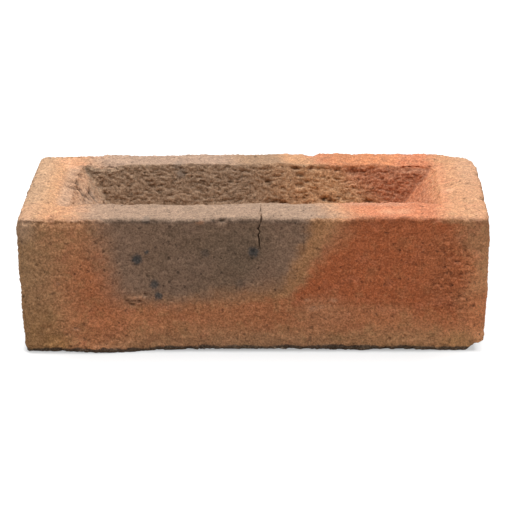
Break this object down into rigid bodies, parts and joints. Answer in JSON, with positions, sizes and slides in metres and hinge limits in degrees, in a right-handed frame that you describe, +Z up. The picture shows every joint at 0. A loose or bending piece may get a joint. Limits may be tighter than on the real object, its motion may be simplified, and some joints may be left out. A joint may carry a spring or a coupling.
{
  "type": "facing brick",
  "caption": "Frogged facing brick of fired clay: a solid block with slightly leaning faces, rounded arrises, a tapered frog in its upper bed and one chipped corner.",
  "frame": {"origin": "centre of the lower bed, on the surface that the brick lies on", "axes": "+X along the stretcher faces, to the right as seen from the front stretcher; +Y from the front stretcher to the back one; +Z up, out of the frogged bed"},
  "size_m": [0.215, 0.1024, 0.065],
  "materials": {
    "fired_clay": "rough sand-faced fired clay, orange-red to tan, with a grey-brown flashed patch"
  },
  "bodies": {
    "root": {"brick": "fired_clay"}
  },
  "joints": []
}
